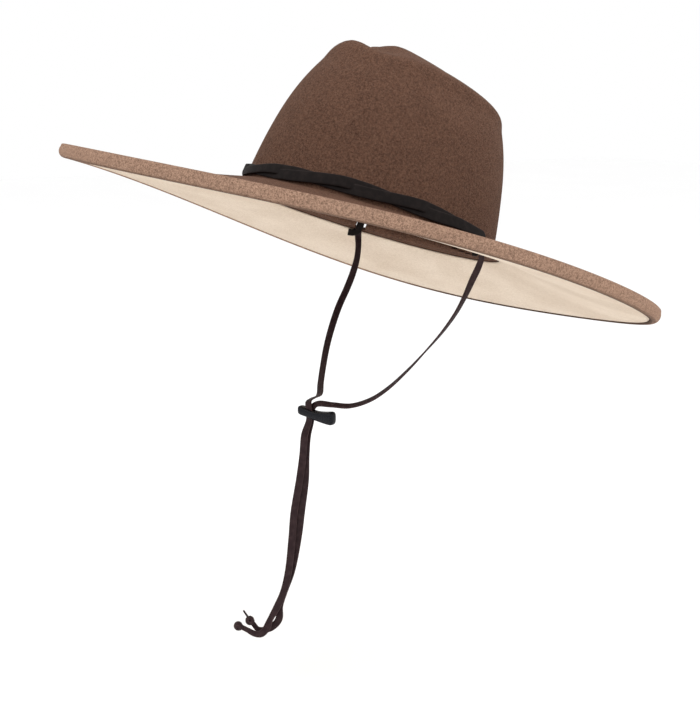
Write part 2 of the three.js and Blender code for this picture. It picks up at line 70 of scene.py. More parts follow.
# Shares of the crown's height where its dented top begins and where it is in full.
CROWN_TOP = (0.72, 0.94)

# The crown's side and top from the brim up: radius, height.
CROWN_PROFILE = [
    (1.0, 0.0),
    (0.972, 0.16),
    (0.937, 0.32),
    (0.892, 0.48),
    (0.833, 0.63),
    (0.756, 0.77),
    (0.673, 0.88),
    (0.38, 0.955),
    (0.2, 0.99),
    (0.0, 1.0),
]

# The rim's soft wave round the brim: order, cosine, sine.
RIM_WAVES = [
    (1, -0.0008, -0.0002),
    (2, -0.0031, -0.0046),
    (3, -0.0024, 0.0002),
    (4, 0.0005, 0.0),
]
CREASE = {"depth": 0.0152, "half_width": 0.012, "middle": 0.005, "reach": 0.0408}
FRONT_PEAK = {"rise": 0.0134, "half_width": 0.0197, "middle": -0.0331, "reach": 0.0299}
FRONT_FALL = {"drop": 0.0113, "half_width": 0.030, "middle": -0.045, "reach": 0.012}
SIDE_DENT = {"depth": 0.003, "middle": 0.005, "reach": 0.034, "height": 0.0995, "spread": 0.016}
DENT_HALF_WIDTH = 0.030


def smooth_rows(rows, share):
    """Values of a table's columns at shares from 0, its first row, to 1, its last row."""
    rows = np.asarray(rows, float)
    last = len(rows) - 1
    position = np.clip(np.atleast_1d(share), 0, 1) * last
    index = np.minimum(position.astype(int), last - 1)
    t = (position - index)[:, None]
    start, end = rows[index], rows[index + 1]
    slope_start = (end - rows[np.maximum(index - 1, 0)]) / np.where(index == 0, 1, 2)[:, None]
    slope_end = (rows[np.minimum(index + 2, last)] - start) / np.where(index == last - 1, 1, 2)[:, None]
    rise = 3 * t**2 - 2 * t**3
    return start * (1 - rise) + slope_start * (t**3 - 2 * t**2 + t) + end * rise + slope_end * (t**3 - t**2)


def smoothstep(value, low, high):
    share = np.clip((value - low) / (high - low), 0, 1)
    return share * share * (3 - 2 * share)


def unit(vectors):
    return vectors / np.linalg.norm(vectors, axis=-1, keepdims=True)


def crown_ring(share, angles):
    """Outer surface of the crown: share 0 is the middle of the top, share 1 is the base."""
    radius, height = smooth_rows(CROWN_PROFILE, 1 - share)[0]
    y = -CROWN_HALF_LENGTH * radius * np.cos(angles)
    y = y + CROWN_LEAN * height + CROWN_BELLY * math.sin(math.pi * height)
    x = CROWN_HALF_WIDTH * radius * np.sin(angles)
    top = smoothstep(height, *CROWN_TOP)
    z = height * (CROWN_HEIGHT - FRONT_RISE * (y - CROWN_MIDDLE) / CROWN_HALF_LENGTH)
    peak = (x / FRONT_PEAK["half_width"]) ** 2 + ((y - FRONT_PEAK["middle"]) / FRONT_PEAK["reach"]) ** 2
    z = z + top * FRONT_PEAK["rise"] * np.exp(-peak)
    fall = (x / FRONT_FALL["half_width"]) ** 2 + ((y - FRONT_FALL["middle"]) / FRONT_FALL["reach"]) ** 2
    z = z - top * FRONT_FALL["drop"] * np.exp(-fall)
    crease = (x / CREASE["half_width"]) ** 2 + ((y - CREASE["middle"]) / CREASE["reach"]) ** 4
    z = z - top * CREASE["depth"] * np.exp(-crease)
    dent = ((y - SIDE_DENT["middle"]) / SIDE_DENT["reach"]) ** 2
    dent = dent + ((z - SIDE_DENT["height"]) / SIDE_DENT["spread"]) ** 2
    dent = SIDE_DENT["depth"] * np.exp(-dent) * np.clip(np.abs(x) / DENT_HALF_WIDTH, 0, 1)
    return np.stack([x - np.sign(x) * dent, y, z], -1)


def rim_height(angles):
    return sum(
        cosine * np.cos(order * angles) + sine * np.sin(order * angles) for order, cosine, sine in RIM_WAVES
    )


def brim_ring(share, angles):
    """Upper surface of the brim, from the crown's corner at share 0 to the start of the roll at share 1."""
    half_width = CROWN_HALF_WIDTH + CORNER_RADIUS
    half_length = CROWN_HALF_LENGTH + CORNER_RADIUS
    roll_depth = ROLL_RADIUS + FELT_THICKNESS
    x = (half_width + (RIM_HALF_WIDTH - roll_depth - half_width) * share) * np.sin(angles)
    y = -(half_length + (RIM_HALF_LENGTH - roll_depth - half_length) * share) * np.cos(angles)
    z = -BRIM_DROP * (1 - (1 - share) ** DROP_POWER) + rim_height(angles) * share**1.5
    return np.stack([x, y, z], -1)


def outward(angles, half_width, half_length):
    """Level directions square to an oval, pointing out."""
    out = np.stack([np.sin(angles) / half_width, -np.cos(angles) / half_length, 0 * np.asarray(angles)], -1)
    return unit(out)


# The share of the crown's profile where its side gives way to the rounded corner at the brim.
CORNER_SHARE = 1 - CORNER_RADIUS / (CROWN_PROFILE[1][1] * CROWN_HEIGHT) / (len(CROWN_PROFILE) - 1)


def upper_ring(station, angles):
    """The whole upper surface: 0 to 1 crown, 1 to 2 corner, 2 to 3 brim, 3 to 4 roll, 4 to 5 lip."""
    if station <= 1:
        return crown_ring(station * CORNER_SHARE, angles)
    if station <= 2:
        turn = (station - 1) * math.pi / 2
        base = crown_ring(1 - (1 - CORNER_SHARE) * (1 - math.sin(turn)), angles)
        out = outward(angles, CROWN_HALF_WIDTH, CROWN_HALF_LENGTH)
        base = base + out * CORNER_RADIUS * (1 - math.cos(turn))
        settle = (station - 1) ** 2
        return base * (1 - settle) + brim_ring(0, angles) * settle
    if station <= 3:
        return brim_ring(station - 2, angles)
    edge = brim_ring(1, angles)
    turn = min(station - 3, 1) * math.pi / 2
    edge = edge + outward(angles, RIM_HALF_WIDTH, RIM_HALF_LENGTH) * ROLL_RADIUS * math.sin(turn)
    edge[:, 2] += ROLL_RADIUS * (1 - math.cos(turn)) + LIP_HEIGHT * max(0, station - 4)
    return edge


# Steps, in stations and in radians, over which the felt's slope is measured, and where it starts at the top.
SLOPE_STEP = 0.02
ANGLE_STEP = 0.01
TOP_POINT = 0.001


def felt_ring(station, angles, depth):
    """A ring at a depth below the upper surface, square to it."""
    upper = upper_ring(station, angles)
    after, before = min(station + SLOPE_STEP, 5), max(station - SLOPE_STEP, TOP_POINT)
    along = upper_ring(after, angles) - upper_ring(before, angles)
    around = upper_ring(station, angles + ANGLE_STEP) - upper_ring(station, angles - ANGLE_STEP)
    return upper - unit(np.cross(along, around)) * depth


def hem_depth(station):
    """Extra thickness of the folded hem at a station: it hangs a little below the rest of the brim."""
    rise = smoothstep(station, HEM["start"], HEM["full"])
    return float(HEM["depth"] * rise * (1 - smoothstep(station, HEM["fade"], HEM["end"])))


def leaned(points):
    """Points of the upright hat, leaned back about X as the hat is worn."""
    x, y, z = np.moveaxis(np.asarray(points, float), -1, 0)
    lean_cos, lean_sin = math.cos(PITCH_BACK), math.sin(PITCH_BACK)
    return np.stack([x, y * lean_cos + z * lean_sin, -y * lean_sin + z * lean_cos], -1)


def ring_faces(rows, columns, wrap):
    """Four-sided faces between neighbouring rings of points. wrap joins the last ring to the first."""
    row = np.arange(rows if wrap else rows - 1)[:, None]
    column = np.arange(columns)[None, :]
    row_after = (row + 1) % rows * columns
    row = row * columns
    beside = (column + 1) % columns
    return np.stack([row + column, row_after + column, row_after + beside, row + beside], -1)


def make_piece(name, vertices, faces, finish, **point_values):
    """A smooth mesh object with its material, and a value on each vertex for each named attribute."""
    mesh = bpy.data.meshes.new(name)
    mesh.from_pydata(np.asarray(vertices).tolist(), [], [list(map(int, face)) for face in faces])
    mesh.polygons.foreach_set("use_smooth", [True] * len(mesh.polygons))
    for attribute, values in point_values.items():
        mesh.attributes.new(attribute, "FLOAT", "POINT").data.foreach_set("value", np.float32(values))
    mesh.materials.append(finish)
    piece = bpy.data.objects.new(name, mesh)
    bpy.context.scene.collection.objects.link(piece)
    return piece


class Shade:
    """A number, colour or vector in a material. Sums on it add Math nodes, and node() adds any other node."""

    def __init__(self, tree, socket=None):
        self.tree = tree
        self.socket = socket

    def node(self, kind, settings=None, sockets=None, output=0):
        made = self.tree.nodes.new(kind)
        for name, value in (settings or {}).items():
            setattr(made, name, value)
        for name, value in (sockets or {}).items():
            if isinstance(value, Shade):
                self.tree.links.new(value.socket, made.inputs[name])
            else:
                made.inputs[name].default_value = value
        return None if output is None else Shade(self.tree, made.outputs[output])

    def maths(self, operation, first, second=0.0):
        return self.node("ShaderNodeMath", {"operation": operation}, {0: first, 1: second})

    def __add__(self, other):
        return self.maths("ADD", self, other)

    def __sub__(self, other):
        return self.maths("SUBTRACT", self, other)

    def __rsub__(self, other):
        return self.maths("SUBTRACT", other, self)

    def __mul__(self, other):
        return self.maths("MULTIPLY", self, other)

    def __abs__(self):
        return self.maths("ABSOLUTE", self)

    __radd__ = __add__
    __rmul__ = __mul__

    def between(self, low, high):
        """0 below low, 1 above high and smooth between them."""
        settings = {"interpolation_type": "SMOOTHSTEP"}
        return self.node("ShaderNodeMapRange", settings, {"Value": self, "From Min": low, "From Max": high})

    def blend(self, first, second):
        """The first colour where this is 0 and the second where it is 1."""
        return self.node("ShaderNodeMix", {"data_type": "RGBA"}, {0: self, 6: first, 7: second}, output=2)

    def noise(self, scale, detail=3.0, roughness=0.5, distortion=0.0):
        """Soft noise from 0 to 1 on this vector, with scale in lumps a metre."""
        sizes = {"Vector": self, "Scale": scale, "Detail": detail}
        sizes |= {"Roughness": roughness, "Distortion": distortion}
        return self.node("ShaderNodeTexNoise", None, sizes)

    def threads(self, scale, thinness, distortion):
        """Curling thread lines, 1 on a line and 0 away from it."""
        level = self.noise(scale, 2.0, 0.45, distortion)
        return 1 - abs(level - 0.5).between(0.0, thinness)


def rgb(red, green, blue):
    """A colour from its screen values of 0 to 255."""
    levels = [value / 255 for value in (red, green, blue)]
    return (*[v / 12.92 if v <= 0.04045 else ((v + 0.055) / 1.055) ** 2.4 for v in levels], 1)


def make_finish(colour, roughness, height, bump_distance, bump_strength, **constants):
    """Ends a material: its colour, roughness and bump may vary, and each constant is a socket's one value."""
    sockets = {"Base Color": colour, "Roughness": roughness}
    sockets["Normal"] = height.node(
        "ShaderNodeBump", None, {"Height": height, "Strength": bump_strength, "Distance": bump_distance}
    )
    for socket, value in constants.items():
        sockets[socket.replace("_", " ")] = value
    surface = height.node("ShaderNodeBsdfPrincipled", None, sockets)
    height.node("ShaderNodeOutputMaterial", None, {"Surface": surface}, output=None)


def new_finish(name):
    """An empty material and its surface position in metres."""
    material = bpy.data.materials.new(name)
    material.use_nodes = True
    material.node_tree.nodes.clear()
    return material, Shade(material.node_tree).node("ShaderNodeTexCoord", output="Object")


def melange_felt(name, dark, light, fibre, rim_light_colour, fibre_share, cloud_scale, cloud_share):
    """Wool felt of two mixed tones with short pale fibres. Where a piece's rim is lit from below, painted
    light pales it towards a lighter colour, and a painted shadow line and painted shade under its rim darken
    it."""
    material, place = new_finish(name)
    cloud = place.noise(cloud_scale, 3.0).between(0.3, 0.7)
    fleck = place.noise(620, 4.0, 0.62, 0.6).between(0.34, 0.66)
    speck = place.noise(1300, 3.0, 0.6).between(0.36, 0.64)
    base = (fleck * (1 - cloud_share) + cloud * cloud_share).blend(dark, light)
    # Painted light: the rim is painted paler towards a lighter colour, as lit from below, with the flecks
    # showing through.
    edge = place.node("ShaderNodeAttribute", {"attribute_name": "edge_tone"}, output="Fac")
    base = (edge * (0.2 + 0.35 * fleck + 0.45 * speck)).blend(base, rim_light_colour)
    # Painted shadow and shade: the felt is painted dark brown in a fine line along the hem's seam groove and
    # where the hem's fold lies in shade.
    seam = place.node("ShaderNodeAttribute", {"attribute_name": "seam_tone"}, output="Fac")
    long_fibres = place.threads(420, 0.045, 1.6)
    short_fibres = place.threads(980, 0.06, 0.9)
    fibres = place.maths("MAXIMUM", long_fibres * 0.8, short_fibres)
    colour = (seam * 0.85).blend((fibres * fibre_share).blend(base, fibre), rgb(52, 37, 31))
    height = fleck * 0.5 + fibres * 0.5 + place.noise(2600, 2.0) * 0.5
    make_finish(
        colour, 0.92, height, 0.0006, 0.55,
        Sheen_Weight=0.2, Sheen_Roughness=0.45, Sheen_Tint=fibre, Specular_IOR_Level=0.1,
    )
    return material


def spread(low, high, steps):
    """Even steps from low, which is left out, to high."""
    return [low + (high - low) * (step + 1) / steps for step in range(steps)]


def closed_rings(rings):
    """Vertices and faces of a skin over rings, with a middle point at both of its ends."""
    rows, columns = rings.shape[:2]
    vertices = np.vstack([rings.reshape(-1, 3), rings[0].mean(0), rings[-1].mean(0)])
    faces = [tuple(face) for face in ring_faces(rows, columns, False).reshape(-1, 4)]
    first, last = rows * columns, rows * columns + 1
    for column in range(columns):
        beside = (column + 1) % columns
        faces.append((first, column, beside))
        faces.append((last, (rows - 1) * columns + beside, (rows - 1) * columns + column))
    return vertices, faces


# Rings of the felt's skin: down its upper side, round the lip and back under it. They lie closer together at
# the corner, where the hem begins and round the roll.
felt_angles = np.radians(np.arange(FELT_COLUMNS) * 360 / FELT_COLUMNS + COLUMN_OFFSET)
hem_stations = [HEM["start"], (HEM["start"] + HEM["full"]) / 2, HEM["full"], 3.0, 3.03, 3.06]
brim_stations = [*spread(SLIT_END, 2.98, 25), *hem_stations]
shared_stations = [*spread(1, 2, 7), SLIT_END, *brim_stations, *spread(3, 4, 9), *spread(4, 5, 4)]
upper_stations = [*spread(0, 1, 72), *shared_stations]
lower_stations = [*spread(0, 1, 44), *shared_stations][::-1]
felt_rings = [felt_ring(station, felt_angles, 0) for station in upper_stations]
for turn in LIP_TURNS:
    lip = felt_ring(5, felt_angles, FELT_THICKNESS * (1 - math.cos(math.pi * turn)) / 2)
    lip[:, 2] += LIP_BULGE * FELT_THICKNESS * math.sin(math.pi * turn)
    felt_rings.append(lip)
felt_rings += [
    felt_ring(station, felt_angles, FELT_THICKNESS + hem_depth(station)) for station in lower_stations
]
felt_rings = np.array(felt_rings)
felt_vertices, felt_faces = closed_rings(felt_rings)


def open_slit(faces, low_angle, high_angle):
    """Takes a slit's faces out of both surfaces of the felt and adds the slit's four walls."""
    first = int(low_angle - COLUMN_OFFSET) % FELT_COLUMNS
    columns = [(first + step) % FELT_COLUMNS for step in range(round(high_angle - low_angle))]
    upper = range(upper_stations.index(1.0), upper_stations.index(SLIT_END))
    offset = len(felt_rings) - len(lower_stations)
    lower_first = offset + lower_stations.index(SLIT_END)
    lower = range(lower_first, offset + lower_stations.index(1.0))
    gone = {row * FELT_COLUMNS + column for row in (*upper, *lower) for column in columns}
    kept = [face for number, face in enumerate(faces) if number not in gone]
    pairs = [(upper.start + step, lower.stop - step) for step in range(len(upper) + 1)]
    ends = [columns[0], (columns[-1] + 1) % FELT_COLUMNS]
    for (up, down), (up_next, down_next) in zip(pairs, pairs[1:]):
        for side, column in enumerate(ends):
            wall = [row * FELT_COLUMNS + column for row in (up, down, down_next, up_next)]
            kept.append(tuple(wall if side else wall[::-1]))
    for end, (up, down) in enumerate((pairs[0], pairs[-1])):
        for column in columns:
            beside = (column + 1) % FELT_COLUMNS
            wall = [up * FELT_COLUMNS + column, up * FELT_COLUMNS + beside]
            wall += [down * FELT_COLUMNS + beside, down * FELT_COLUMNS + column]
            kept.append(tuple(wall[::-1] if end else wall))
    return kept


# A known fault: the left slit is cut after the right one's faces have gone, and its faces are counted in the
# shorter list. So its cut drifts by five columns a row and leaves gaps along the corner behind the left slit.
right_slit = (360 - SLIT_ANGLES[1], 360 - SLIT_ANGLES[0])
for low_angle, high_angle in (right_slit, SLIT_ANGLES):
    felt_faces = open_slit(felt_faces, low_angle, high_angle)

# The rim is painted paler than the rest: painted light, as the rim is lit from below. UPPER_PALE and
# LOWER_PALE are the stations where it turns pale on each side.
UPPER_PALE = (4.3, 5)
LOWER_PALE = (2.6, 2.9)
UPPER_TONE = 0.8
LIP_TONE = 0.9
upper_tones = [UPPER_TONE * float(smoothstep(station, *UPPER_PALE)) for station in upper_stations]
lower_tones = [float(smoothstep(station, *LOWER_PALE)) for station in lower_stations]
painted_rim_light_tones = [*upper_tones, *[LIP_TONE] * len(LIP_TURNS), *lower_tones]
edge_tone = np.append(np.repeat(painted_rim_light_tones, FELT_COLUMNS), [0, 0])

# Under the rim, the hem's seam groove is a fine dark line of painted shadow that fades out on the wearer's
# right.
# Next to it, on the wearer's left, toward the camera, the hem's fold is painted darker as painted shade.
# full and end are distances from the middle, in stations.
SEAM_END_ANGLE = 285
SHADE_ANGLE = 57
HEM_SEAM_SHADOW = {"middle": 3.01, "full": 0.02, "end": 0.05, "strength": 1.0}
HEM_SHADE = {"middle": 3.15, "full": 0.12, "end": 0.2, "strength": 0.62}


def line_tones(line):
    """How dark each ring of the felt is painted in one of the lines of painted shadow and shade under the
    rim.
    """
    aways = [abs(station - line["middle"]) for station in lower_stations]
    tones = [line["strength"] * float(smoothstep(-away, -line["end"], -line["full"])) for away in aways]
    return [0] * (len(felt_rings) - len(lower_stations)) + tones


def turned_to(degrees, low, high):
    """1 for columns that face an angle from the front and 0 for the rest. low and high are cosines."""
    return smoothstep(np.cos(felt_angles - math.radians(degrees)), low, high)


seam_shadow_lines = np.outer(line_tones(HEM_SEAM_SHADOW), 1 - turned_to(SEAM_END_ANGLE, 0.2, 0.75))
shade_lines = np.outer(line_tones(HEM_SHADE), turned_to(SHADE_ANGLE, -0.2, 0.3))
seam_tone = np.append(np.maximum(seam_shadow_lines, shade_lines), [0, 0])
# Each felt's fourth colour is the colour of the rim's painted light.
brown_felt = melange_felt(
    "brown_melange_felt", rgb(58, 37, 28), rgb(94, 66, 52), rgb(142, 111, 93), rgb(180, 147, 125), 0.34,
    cloud_scale=55, cloud_share=0.14,
)
felt_hat = make_piece(
    "felt_hat", leaned(felt_vertices), felt_faces, brown_felt, edge_tone=edge_tone, seam_tone=seam_tone
)
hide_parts("felt_body")
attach(felt_hat, "root")

# Facing: a second layer of pale felt, 1.2 mm thick, laid against the underside of the brim. It covers the
# brim from the crown's opening to just inside the hem, and both of its cut edges are softly rounded.
FACING = {"gap": 0.0003, "thickness": 0.0012, "inner": 0.042, "outer": 0.978, "round": 0.004}

facing_stations = [2 + share for share in [FACING["inner"], *spread(FACING["inner"], FACING["outer"], 30)]]
facing_top = FELT_THICKNESS + FACING["gap"]
facing_bottom = facing_top + FACING["thickness"]
facing_middle = (facing_top + facing_bottom) / 2
facing_rings = [felt_ring(station, felt_angles, facing_top) for station in facing_stations]
facing_rings.append(felt_ring(facing_stations[-1] + FACING["round"], felt_angles, facing_middle))
facing_rings += [felt_ring(station, felt_angles, facing_bottom) for station in reversed(facing_stations)]
facing_rings.append(felt_ring(facing_stations[0] - FACING["round"], felt_angles, facing_middle))
facing_rings = np.array(facing_rings)[::-1]
facing_faces = ring_faces(*facing_rings.shape[:2], True).reshape(-1, 4)[:, ::-1]
pale_felt = melange_felt(
    "pale_facing_felt", rgb(200, 179, 157), rgb(230, 214, 195), rgb(238, 224, 208), rgb(200, 170, 148), 0.3,
    cloud_scale=16, cloud_share=0.5,
)
facing = make_piece("brim_facing", leaned(facing_rings.reshape(-1, 3)), facing_faces, pale_felt)
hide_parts("underbrim_facing")
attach(facing, "root")

# Band: two flat strips of near-black leather, up to 8 mm wide, twisted over and under each other round the
# front of the crown and narrower at their ends. Both go down through the slits behind the ears, and the first
# ends in a short tail under the brim.
STRIP_THICKNESS = 0.0015
STRIP_STEP = 0.0012
STRIP_FAN = 0.0018
WALL_GAP = 0.00065
WALL_LEAN = 0.14
STRIP_GAP = 0.0004
CROSSINGS = [-0.167, -0.112, -0.053, -0.004, 0.051, 0.106, 0.161]
LAYER_CHANGE = 0.24
SLIT_MIDDLE = round(sum(SLIT_ANGLES) / 2)
TURN_RADIUS = 0.0042
STRIP_SECTION = 20
EDGE_POWER = 0.4
FACE_POWER = 0.5
MIDDLE_DIP = 0.12

# Height of the band's middle above the brim: length of arc from the middle of the front, height.
BAND_MIDDLE = [
    (-0.17, 0.0056),
    (0.0, 0.0054),
    (0.03, 0.0066),
    (0.07, 0.0082),
    (0.13, 0.0082),
    (0.17, 0.0068),
    (0.2, 0.006),
]

# Width of both strips: degrees from the middle of the front, width.
STRIP_WIDTHS = [(-112, 0.0056), (-100, 0.0064), (4, 0.0064), (24, 0.0080), (98, 0.0080), (112, 0.0056)]


def beside_wall(angles, height, distance):
    """Places beside the crown's wall: angle from the front, height above the brim and distance out."""
    share = height / (CROWN_HEIGHT + FRONT_RISE * np.cos(angles))
    (_, _), (radius_next, height_next) = CROWN_PROFILE[:2]
    radius = 1 - (1 - radius_next) / height_next * share
    x = CROWN_HALF_WIDTH * radius * np.sin(angles)
    y = -CROWN_HALF_LENGTH * radius * np.cos(angles) + (CROWN_LEAN + math.pi * CROWN_BELLY) * share
    place = np.stack([x, y, height + 0 * x], -1)
    return place + outward(angles, CROWN_HALF_WIDTH, CROWN_HALF_LENGTH) * np.asarray(distance)[..., None]


arc_angles = np.radians(np.arange(181))
arc_steps = np.linalg.norm(np.diff(beside_wall(arc_angles, 0, 0), axis=0), axis=1)
arc_lengths = np.concatenate([[0], np.cumsum(arc_steps)])
slit_arc = arc_lengths[SLIT_MIDDLE]


def strip_lie(arc, side):
    """A strip's height and distance out at lengths of arc. side is 1 for one strip and -1 for the other."""
    phase = math.pi * np.interp(arc, CROSSINGS, np.arange(len(CROSSINGS)) - 3.0)
    fan = np.sin(phase)
    layer = np.clip(np.cos(phase) / LAYER_CHANGE, -1, 1)
    half_layers = (STRIP_THICKNESS + STRIP_GAP) / 2
    height = np.interp(arc, *zip(*BAND_MIDDLE)) + side * STRIP_FAN * fan
    return height, WALL_GAP + STRIP_THICKNESS / 2 + half_layers * (1 + side * layer)


def strip_path(side, tail):
    """Centre line of a strip, with a turn down into the slit at each end. Rows of the tail: length forward,
    height."""
    reach = slit_arc - TURN_RADIUS
    arcs = np.linspace(-reach, reach, round(2 * reach / STRIP_STEP))
    heights, distances = strip_lie(arcs, side)
    ends = []
    for sign, number in ((-1, 0), (1, -1)):
        turn = np.radians(np.arange(10, 91, 10))
        arc = sign * (reach + TURN_RADIUS * np.sin(turn))
        height = heights[number] - TURN_RADIUS * (1 - np.cos(turn))
        arc = np.append(arc, [sign * (slit_arc - forward) for forward, _ in tail])
        height = np.append(height, [row_height for _, row_height in tail])
        ends.append((arc, height, np.full(len(arc), distances[number])))
    (a0, h0, d0), (a1, h1, d1) = ends
    arcs = np.concatenate([a0[::-1], arcs, a1])
    heights = np.concatenate([h0[::-1], heights, h1])
    distances = np.concatenate([d0[::-1], distances, d1])
    angles = np.sign(arcs) * np.interp(np.abs(arcs), arc_lengths, arc_angles)
    return np.array([beside_wall(a, h, d) for a, h, d in zip(angles, heights, distances)])


def ribbon_rings(points, face_out, width, thickness):
    """Rings round a flat strip with softened edges, and how far across its width each point lies."""
    along = unit(np.gradient(points, axis=0))
    across = unit(np.cross(face_out, along))
    face = np.cross(along, across)
    turn = (np.arange(STRIP_SECTION) + 0.5) / STRIP_SECTION * 2 * math.pi
    a = np.sign(np.cos(turn)) * np.abs(np.cos(turn)) ** EDGE_POWER
    b = np.sign(np.sin(turn)) * np.abs(np.sin(turn)) ** FACE_POWER
    b = b - MIDDLE_DIP * np.sign(b) * (1 - a**2)
    wide = np.reshape(width, (-1, 1, 1)) * a[:, None] / 2
    rings = points[:, None] + across[:, None] * wide + face[:, None] * (b * thickness / 2)[:, None]
    return rings, np.tile(a, len(points))


def soft_leather(name, colour, worn, roughness, shine):
    """Cut leather strip: fine grain and creases, with the cut edges a little worn."""
    material, place = new_finish(name)
    grain_sizes = {"Vector": place, "Scale": 1500.0, "Randomness": 0.9}
    grain = place.node("ShaderNodeTexVoronoi", {"feature": "F1"}, grain_sizes)
    creases = place.noise(700, 4.0, 0.6, 1.2)
    across = place.node("ShaderNodeAttribute", {"attribute_name": "across"}, output="Fac")
    edge = abs(across).between(0.82, 1.0)
    patches = place.noise(240, 3.0).between(0.35, 0.75)
    tone = (edge * 0.5 + patches * 0.35).blend(colour, worn)
    height = grain * 0.35 + creases * 0.65
    make_finish(tone, roughness + 0.16 * creases, height, 0.0003, 0.6, Specular_IOR_Level=shine)
    return material


band_leather = soft_leather("band_leather", rgb(21, 16, 15), rgb(44, 36, 34), 0.58, 0.1)
long_tail = [(0.0, -0.002), (0.0004, -0.0047), (0.0022, -0.0068), (0.0048, -0.0078), (0.008, -0.0082)]
short_tail = [(0.0, -0.0009)]
for strip_name, node, side, tail in (
    ("twisted_strip_a", "band_strip_a", 1, long_tail),
    ("twisted_strip_b", "band_strip_b", -1, short_tail),
):
    path = strip_path(side, tail)
    angles = np.arctan2(path[:, 0] / CROWN_HALF_WIDTH, -path[:, 1] / CROWN_HALF_LENGTH)
    wall_out = outward(angles, CROWN_HALF_WIDTH, CROWN_HALF_LENGTH)
    wall_out[:, 2] = WALL_LEAN
    widths = np.interp(np.degrees(angles), *zip(*STRIP_WIDTHS))
    rings, across = ribbon_rings(path, unit(wall_out), widths, STRIP_THICKNESS)
    vertices, faces = closed_rings(leaned(rings))
    strip = make_piece(strip_name, vertices, faces, band_leather, across=np.append(across, [0, 0]))
    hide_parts(node)
    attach(strip, "root")

# Chin laces: flat dark brown leather, 5.6 mm wide. Each leaves the brim at a slit, runs under the chin to the
# slide and hangs below it to a knot. The left one shows from slit to chin, and both show below the slide.
LACE_START = -0.0012
SLIT_DEPTH = 0.0035
LACE_HEADING = 113
LACE_STEPS = 420
LACE_DIAMETER = 0.0056
KNOT_REACH = 0.0022
NARROW_END = 0.68
NARROWING = (0.86, 0.96)

# Upper run from the slit to the slide: x, y, z, the heading of the lace's width from +X where it hangs plumb,
# and how far its face turns down, both in degrees.
UPPER_RUN = [
    (0.0817, 0.0424, -0.0243, 104, 4),
    (0.0797, 0.0413, -0.0317, 88, 6),
    (0.0768, 0.0381, -0.0415, 86, 12),
    (0.075, 0.0326, -0.0539, 102, 20),
    (0.0735, 0.026, -0.0654, 112, 26),
    (0.0704, 0.0162, -0.079, 122, 30),
    (0.0642, 0.0058, -0.0932, 134, 36),
    (0.0563, -0.0044, -0.1076, 148, 44),
    (0.0452, -0.0152, -0.1227, 162, 48),
    (0.035, -0.0236, -0.132, 172, 54),
    (0.022, -0.033, -0.138, 180, 60),
]

# Into the slide, through its slot and down to the knot, for the left and the right lace.
LEFT_END = [
    (0.0095, -0.0412, -0.1386, 188, 62),
    (-0.0026, -0.0473, -0.1397, 196, 45),
    (-0.0062, -0.0498, -0.1446, 200, 6),
    (-0.006, -0.0501, -0.152, 200, 0),
    (-0.0034, -0.055, -0.1629, 218, 4),
    (-0.0007, -0.0582, -0.1773, 228, 4),
    (0.0012, -0.06, -0.1958, 234, 3),
    (0.0001, -0.0632, -0.2225, 237, 3),
    (-0.0002, -0.0659, -0.2413, 232, 5),
    (-0.0013, -0.0715, -0.268, 222, 10),
    (-0.0024, -0.0778, -0.2841, 222, 14),
    (-0.0027, -0.0816, -0.2947, 228, 11),
    (-0.0018, -0.0828, -0.3048, 237, 4),
    (-0.0058, -0.0868, -0.3118, 237, 0),
    (-0.0101, -0.0922, -0.3146, 237, 0),
    (-0.0124, -0.0957, -0.3137, 237, 0),
    (-0.0137, -0.0983, -0.3099, 237, 0),
]
RIGHT_END = [
    (-0.0142, -0.0436, -0.1378, 184, 58),
    (-0.0088, -0.0506, -0.1384, 192, 46),
    (-0.0058, -0.0526, -0.141, 198, 22),
    (-0.0054, -0.0523, -0.1452, 200, 2),
    (-0.0053, -0.0524, -0.152, 200, 0),
    (-0.0029, -0.0579, -0.1623, 218, 4),
    (-0.0001, -0.0612, -0.1767, 228, 4),
    (0.0008, -0.0648, -0.1951, 234, 3),
    (-0.001, -0.069, -0.2218, 237, 3),
    (-0.0008, -0.071, -0.2406, 232, 5),
    (-0.0007, -0.0745, -0.2672, 222, 8),
    (-0.0006, -0.079, -0.2832, 222, 14),
    (-0.0013, -0.0842, -0.2937, 214, 12),
    (-0.0027, -0.0897, -0.3035, 188, 6),
    (-0.0036, -0.0933, -0.3113, 237, 4),
    (-0.0056, -0.0966, -0.3151, 237, 0),
    (-0.008, -0.1006, -0.3149, 237, 0),
    (-0.0114, -0.1048, -0.3123, 237, 0),
    (-0.013, -0.1074, -0.3106, 237, 0),
]


def spline_points(rows, shares):
    """Points on a smooth curve through the rows of a route, at shares of its count of rows."""
    knots = np.asarray(rows, float)[:, :3]
    knots = np.vstack([2 * knots[0] - knots[1], knots, 2 * knots[-1] - knots[-2]])
    position = np.clip(shares, 0, 1) * (len(rows) - 1)
    index = np.minimum(position.astype(int), len(rows) - 2)
    t = (position - index)[:, None]
    p0, p1, p2, p3 = (knots[index + step] for step in range(4))
    d0, d1, d2 = (np.linalg.norm(b - a, axis=1)[:, None] ** 0.5 for a, b in ((p0, p1), (p1, p2), (p2, p3)))
    slope_1 = ((p1 - p0) / d0 - (p2 - p0) / (d0 + d1) + (p2 - p1) / d1) * d1
    slope_2 = ((p2 - p1) / d1 - (p3 - p1) / (d1 + d2) + (p3 - p2) / d2) * d1
    rise = 3 * t**2 - 2 * t**3
    return p1 * (1 - rise) + slope_1 * (t**3 - 2 * t**2 + t) + p2 * rise + slope_2 * (t**3 - t**2)


